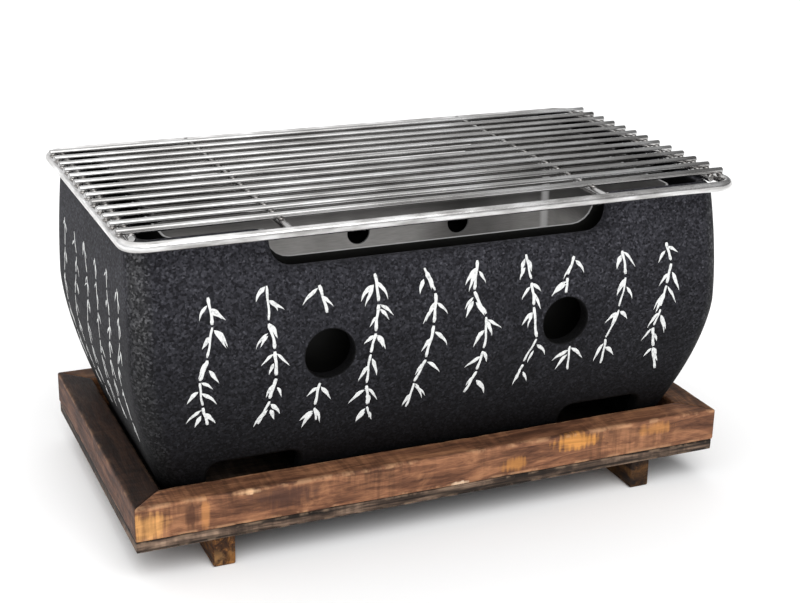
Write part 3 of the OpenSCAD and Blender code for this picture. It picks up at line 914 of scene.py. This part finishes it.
def build_frame():
    """Closed frame wire with bent corners."""
    hx = frame_high.x - FRAME_R
    hy = frame_high.y - FRAME_R
    z = frame_high.z - FRAME_R
    path = [(x, y, z) for x, y in round_outline(hx, hy, FRAME_BEND_R, 12)]
    smooth = []
    for i, p in enumerate(path):
        q = path[(i + 1) % len(path)]
        length = math.dist(p, q)
        count = max(1, round(length / (6 * MM)))
        smooth += [Vector(p).lerp(Vector(q), k / count) for k in range(count)]
    points, faces = tube(smooth, [FRAME_R] * len(smooth), 28, True)
    # Painted highlight: the frame wire's greys raised 1.6 times above the rod steel's.
    material = wire_material("frame_wire_steel", (1.0, 1.0, 6.0), 1.6)
    wire = new_piece("frame_wire", points, faces, "grate", material)
    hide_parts("grate_frame")


def build_rods():
    """Thin rods along the grill."""
    draw = random.Random(5)
    material = wire_material("rod_steel", (0.05, 1.0, 1.0))
    for number in range(1, ROD_COUNT + 1):
        node = f"grate_rod_{number:02d}"
        low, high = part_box(node)
        y = (low.y + high.y) / 2
        z = (low.z + high.z) / 2 - WELD_SINK
        points, faces = straight_wire((low.x, y, z), (high.x, y, z), ROD_R, draw)
        rod = new_piece(f"rod_{number:02d}", points, faces, "grate", material)
        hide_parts(node)


def build_bars():
    """Cross bars under the rods."""
    draw = random.Random(7)
    material = wire_material("bar_steel", (1.0, 0.05, 1.0))
    for name in ("end_bar_left", "end_bar_right", "mid_bar_left", "mid_bar_right"):
        low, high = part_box("grate_" + name)
        x = (low.x + high.x) / 2
        z = (low.z + high.z) / 2
        points, faces = straight_wire((x, low.y, z), (x, high.y, z), BAR_R, draw)
        bar = new_piece(name, points, faces, "grate", material)
        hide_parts("grate_" + name)


def blob(middle, radii, draw):
    """Small rounded weld nugget."""
    rows, columns = 7, 12
    points = []
    for i in range(rows):
        tilt = math.pi * (i + 0.5) / rows
        for j in range(columns):
            turn = 2 * math.pi * j / columns
            rough = draw.uniform(0.92, 1.08)
            unit = (math.sin(tilt) * math.cos(turn), math.sin(tilt) * math.sin(turn), math.cos(tilt))
            points.append(tuple(m + r * rough * c for m, r, c in zip(middle, radii, unit)))
    faces = grid_faces(rows, columns, close_columns=True)
    faces += caps(rows, columns)
    return points, faces


def build_welds():
    """Nuggets where each rod crosses a bar or end wire, and where the middle bars meet the frame."""
    draw = random.Random(3)
    points = []
    faces = []
    crossings = []
    for name in ("end_bar_left", "mid_bar_left", "mid_bar_right", "end_bar_right"):
        low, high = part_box("grate_" + name)
        crossings.append((low.x + high.x) / 2)
        for y in (low.y + 0.3 * MM, high.y - 0.3 * MM) if name.startswith("mid") else ():
            join_on(points, faces, blob((crossings[-1], y, high.z - BAR_R), BAR_WELD, draw))
    crossings += [frame_low.x + FRAME_R, frame_high.x - FRAME_R]
    for number in range(1, ROD_COUNT + 1):
        low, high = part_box(f"grate_rod_{number:02d}")
        y = (low.y + high.y) / 2
        for x in crossings:
            size = draw.uniform(0.9, 1.1)
            radii = (ROD_WELD[0] * size, ROD_WELD[1] * size, ROD_WELD[2])
            join_on(points, faces, blob((x, y, WIRE_TOP_Z - 0.05 * MM), radii, draw))
    material = wire_material("weld_steel", (1.0, 1.0, 1.0), 1.0, 0.35)
    new_piece("grate_welds", points, faces, "grate", material)


# ---------- tray

def section(width, height, r, step):
    """Rounded rectangle from (0, 0) to (width, height) with its outward directions and how near each
    point is to a corner: rows of (across, up, out across, out up, nearness)."""
    rows = []
    for corner, (cx, cy) in enumerate(((width - r, height - r), (r, height - r), (r, r), (width - r, r))):
        for k in range(5):
            a = QUARTER * (corner + k / 4)
            rows.append((cx + r * math.cos(a), cy + r * math.sin(a), math.cos(a), math.sin(a), 1.0))
        length = (width if corner in (0, 2) else height) - 2 * r
        count = max(2, round(length / step))
        a = QUARTER * (corner + 1)
        ca = math.cos(a)
        sa = math.sin(a)
        for k in range(1, count):
            d = length * k / count
            near = math.exp(-min(d, length - d) / (0.5 * MM))
            rows.append((cx + r * ca - sa * d, cy + r * sa + ca * d, ca, sa, near))
    return rows


def plank(name, place, start, end, width, height, r, material, seed, rough=0.12 * MM, step=1.6 * MM):
    """Worn plank. place(along, across, up) gives a point; start and end give where it begins and ends
    at a share across, so that a mitred rail has slanting ends."""
    rows = section(width, height, r, step)
    stations = max(8, round((end(0.5) - start(0.5)) / step))
    shares = [0, 0.12 / stations] + [i / stations for i in range(1, stations)] + [1 - 0.12 / stations, 1]
    points = []
    wear = []
    upper = []
    for n, s in enumerate(shares):
        last = n in (0, len(shares) - 1)
        for across, up, out_a, out_u, near in rows:
            share = across / width
            along = start(share) + (end(share) - start(share)) * s
            spot = Vector((along * 60, across * 60 + seed * 5.3, up * 60 + seed * 2.1))
            dent = rough * noise.noise(spot)
            dent -= near * 0.45 * MM * max(0.0, noise.noise(spot * 3.1) - 0.25)
            dent -= 0.28 * MM if last else 0
            points.append(place(along, across + out_a * dent, up + out_u * dent))
            wear.append(min(1.0, near + (0.3 if last else 0)))
            upper.append(max(0.0, out_u))
    faces = grid_faces(len(shares), len(rows), close_columns=True)
    faces += caps(len(shares), len(rows))
    return new_piece(name, points, faces, "tray", material, {"wear": wear, "upper": upper})


def build_rails():
    """Four mitred rails; the front one has marks, given in mm, where the photograph shows them."""
    low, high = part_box("tray_rail_front")
    width = high.y - low.y
    height = high.z - low.z
    length_x = high.x
    length_y = -low.y
    face = low.y
    marks = [
        (-120, 22, (11, 4, 8), (0.66, 0.33, 0.11)),
        (-104, 23, (4, 5, 11), (0.07, 0.028, 0.016)),
        (-99, 24, (2.5, 5, 11), (0.50, 0.22, 0.08)),
        (-70, 26, (20, 4, 7), (0.075, 0.034, 0.024)),
        (-81, 30, (6, 2, 1.4), (0.80, 0.50, 0.28)),
        (58, 27.5, (14, 4, 5), (0.68, 0.30, 0.07)),
        (30, 22, (9, 3, 4), (0.46, 0.20, 0.055)),
        (96, 27, (11, 4, 4), (0.50, 0.22, 0.07)),
        (6, low.z / MM + 0.6, (5, 1.5, 1.5), (0.85, 0.66, 0.48)),
    ]
    marks = [((x * MM, face, z * MM), tuple(MM * r for r in reach), tint) for x, z, reach, tint in marks]
    front = wood_material("wood_front", 0, 1.0, (0.085, 0.033, 0.018), (0.20, 0.085, 0.044),
                          (0.38, 0.175, 0.085), (0.60, 0.34, 0.18), 0.45, 0.72, 0.0, marks)
    back = wood_material("wood_back", 0, 2.0, (0.06, 0.024, 0.012), (0.17, 0.072, 0.034),
                         (0.38, 0.18, 0.08), (0.46, 0.26, 0.13), 0.5, 0.45)
    left = wood_material("wood_left", 1, 3.0, (0.032, 0.015, 0.011), (0.085, 0.040, 0.026),
                         (0.17, 0.082, 0.050), (0.30, 0.16, 0.09), 0.5, 0.25)
    right = wood_material("wood_right", 1, 4.0, (0.05, 0.021, 0.011), (0.15, 0.065, 0.032),
                          (0.32, 0.15, 0.07), (0.40, 0.22, 0.11), 0.5, 0.55)

    inner_x = length_x - width
    inner_y = length_y - width
    size = (width, height, RAIL_ROUND)

    def mitre(inner):
        return (lambda share: -inner - share * width), (lambda share: inner + share * width)

    start, end = mitre(inner_x)
    rail = plank("rail_front", lambda a, c, u: (a, -inner_y - c, low.z + u), start, end, *size, front, 1)
    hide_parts("tray_rail_front")
    rail = plank("rail_back", lambda a, c, u: (a, inner_y + c, low.z + u), start, end, *size, back, 2)
    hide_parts("tray_rail_back")
    start, end = mitre(inner_y)
    rail = plank("rail_left", lambda a, c, u: (-inner_x - c, a, low.z + u), start, end, *size, left, 3)
    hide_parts("tray_rail_left")
    rail = plank("rail_right", lambda a, c, u: (inner_x + c, a, low.z + u), start, end, *size, right, 4)
    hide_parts("tray_rail_right")


def build_board():
    """Thin board under the rails, with the lines of its plies."""
    low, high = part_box("tray_base_board")
    material = wood_material("wood_board", 0, 6.0, (0.022, 0.014, 0.010), (0.065, 0.042, 0.030),
                             (0.17, 0.115, 0.08), (0.24, 0.165, 0.11), 0.6, 0.4, 0.85)
    board = plank("base_board", lambda a, c, u: (a, low.y + c, low.z + u), lambda s: low.x, lambda s: high.x,
                  high.y - low.y, high.z - low.z, 0.5 * MM, material, 5, 0.10 * MM, 2.2 * MM)
    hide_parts("tray_base_board")


def cut_pockets(foot, middles):
    """Round pockets in a foot bar's underside, which the screw heads sit in."""
    for x, y in middles:
        angles = [4 * QUARTER * (k + 0.5) / POCKET_SIDES for k in range(POCKET_SIDES)]
        ring = [(x + POCKET_R * math.cos(a), y + POCKET_R * math.sin(a)) for a in angles]
        points = [(*p, -MM) for p in ring] + [(*p, POCKET_DEPTH) for p in ring]
        faces = grid_faces(2, POCKET_SIDES, close_columns=True) + caps(2, POCKET_SIDES)
        cutter = mesh_object("pocket", points, faces)
        cut = foot.modifiers.new("pocket", "BOOLEAN")
        cut.operation = "DIFFERENCE"
        cut.solver = "EXACT"
        cut.object = cutter
        shown = foot.evaluated_get(bpy.context.evaluated_depsgraph_get())
        solid = bpy.data.meshes.new_from_object(shown)
        foot.modifiers.remove(cut)
        foot.data = solid
        bpy.data.objects.remove(cutter)


def build_feet():
    """Foot bars with their screw pockets; one wood, with painted light on the left bar and painted shade on
    the right.
    """
    for side, name, seed in ((-1, "foot_bar_left", 7), (1, "foot_bar_right", 8)):
        low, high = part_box(name)
        # Painted light and shade: the left bar's wood brightened, the right bar's darkened.
        painted_light_tone = 0.62 if side < 0 else 0.18
        browns = [(0.012, 0.005, 0.003), (0.10, 0.038, 0.012), (0.60, 0.26, 0.065), (0.60, 0.32, 0.12)]
        colours = [tuple(painted_light_tone * c for c in brown) for brown in browns]
        material = wood_material("wood_" + name, 1, float(seed), *colours)
        foot = plank("foot_left" if side < 0 else "foot_right", lambda a, c, u: (low.x + c, a, low.z + u),
                     lambda s: low.y, lambda s: high.y, high.x - low.x, high.z - low.z, 0.6 * MM,
                     material, seed)
        middle_x = (low.x + high.x) / 2
        cut_pockets(foot, [(middle_x, y) for y in (low.y + SCREW_INSET, high.y - SCREW_INSET)])
        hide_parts(name)


# ---------- carried CAD nodes

def finish_node(node, material):
    """Better material on a CAD node whose shape is right."""
    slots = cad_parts[node].data.materials
    slots.clear()
    slots.append(material)


# ---------- studio

def build_studio():
    """Pale floor, light from all round that is weaker from the right, and a broad sun."""
    floor_mesh = bpy.data.meshes.new("studio_floor")
    reach = 6.0
    corners = [(-reach, -reach, 0), (reach, -reach, 0), (reach, reach, 0), (-reach, reach, 0)]
    floor_mesh.from_pydata(corners, [], [(0, 1, 2, 3)])
    floor = bpy.data.objects.new("studio_floor", floor_mesh)
    floor.location.z = -0.2 * MM
    bpy.context.scene.collection.objects.link(floor)
    g = Graph("studio_floor")
    pale = g.finish(Base_Color=(0.90, 0.90, 0.90), Roughness=0.9, Specular_IOR_Level=0.1)
    floor_mesh.materials.append(pale)

    g = Graph("studio", world=True)
    split = g.node("ShaderNodeSeparateXYZ", {0: g.place})
    by_height = g.ramp(split.outputs["Z"], [(0.0, 0.9), (0.08, 0.9), (0.16, (0.50, 0.50, 0.51)), (0.75, 1.0)])
    by_side = g.ramp(split.outputs["X"], [(0.28, 1.0), (0.44, 0.62), (0.55, 0.22)])
    above = g.ramp(split.outputs["Z"], [(0.10, 0.0), (0.22, 1.0)])
    sky = g.mix(1.0, by_height, g.mix(above, (1.0, 1.0, 1.0), by_side), "MULTIPLY")
    bpy.context.scene.world = g.finish(Color=sky, Strength=1.4)

    key = bpy.data.lights.new("key", "SUN")
    key.energy = 1.35
    key.angle = math.radians(45)
    lamp = bpy.data.objects.new("key", key)
    lamp.rotation_euler = (math.radians(38), 0, 0)
    bpy.context.scene.collection.objects.link(lamp)


def build_camera():
    """Camera from its place and angles."""
    yaw, pitch, roll = CAMERA_YAW, CAMERA_PITCH, CAMERA_ROLL
    forward = Vector((math.sin(yaw) * math.cos(pitch), math.cos(yaw) * math.cos(pitch), -math.sin(pitch)))
    right = Vector((math.cos(yaw), -math.sin(yaw), 0))
    up = right.cross(forward)
    axis_x = math.cos(roll) * right + math.sin(roll) * up
    axis_y = math.cos(roll) * up - math.sin(roll) * right
    turn = Matrix((axis_x, axis_y, -forward)).transposed().to_4x4()
    data = bpy.data.cameras.new("camera")
    data.sensor_width = 36
    data.lens = CAMERA_LENS
    data.clip_start = 0.01
    camera = bpy.data.objects.new("camera", data)
    camera.matrix_world = Matrix.Translation(CAMERA_AT) @ turn
    bpy.context.scene.collection.objects.link(camera)
    bpy.context.scene.camera = camera


build_camera()
build_studio()
build_bowl()
build_bowl_floor()
paint_pattern()
build_fire_box()
build_frame()
build_rods()
build_bars()
build_welds()
build_rails()
build_board()
build_feet()
finish_node("fire_box_floor", SHEET)
finish_node("foot_screws", ZINC)

bpy.context.scene.view_settings.view_transform = "Standard"
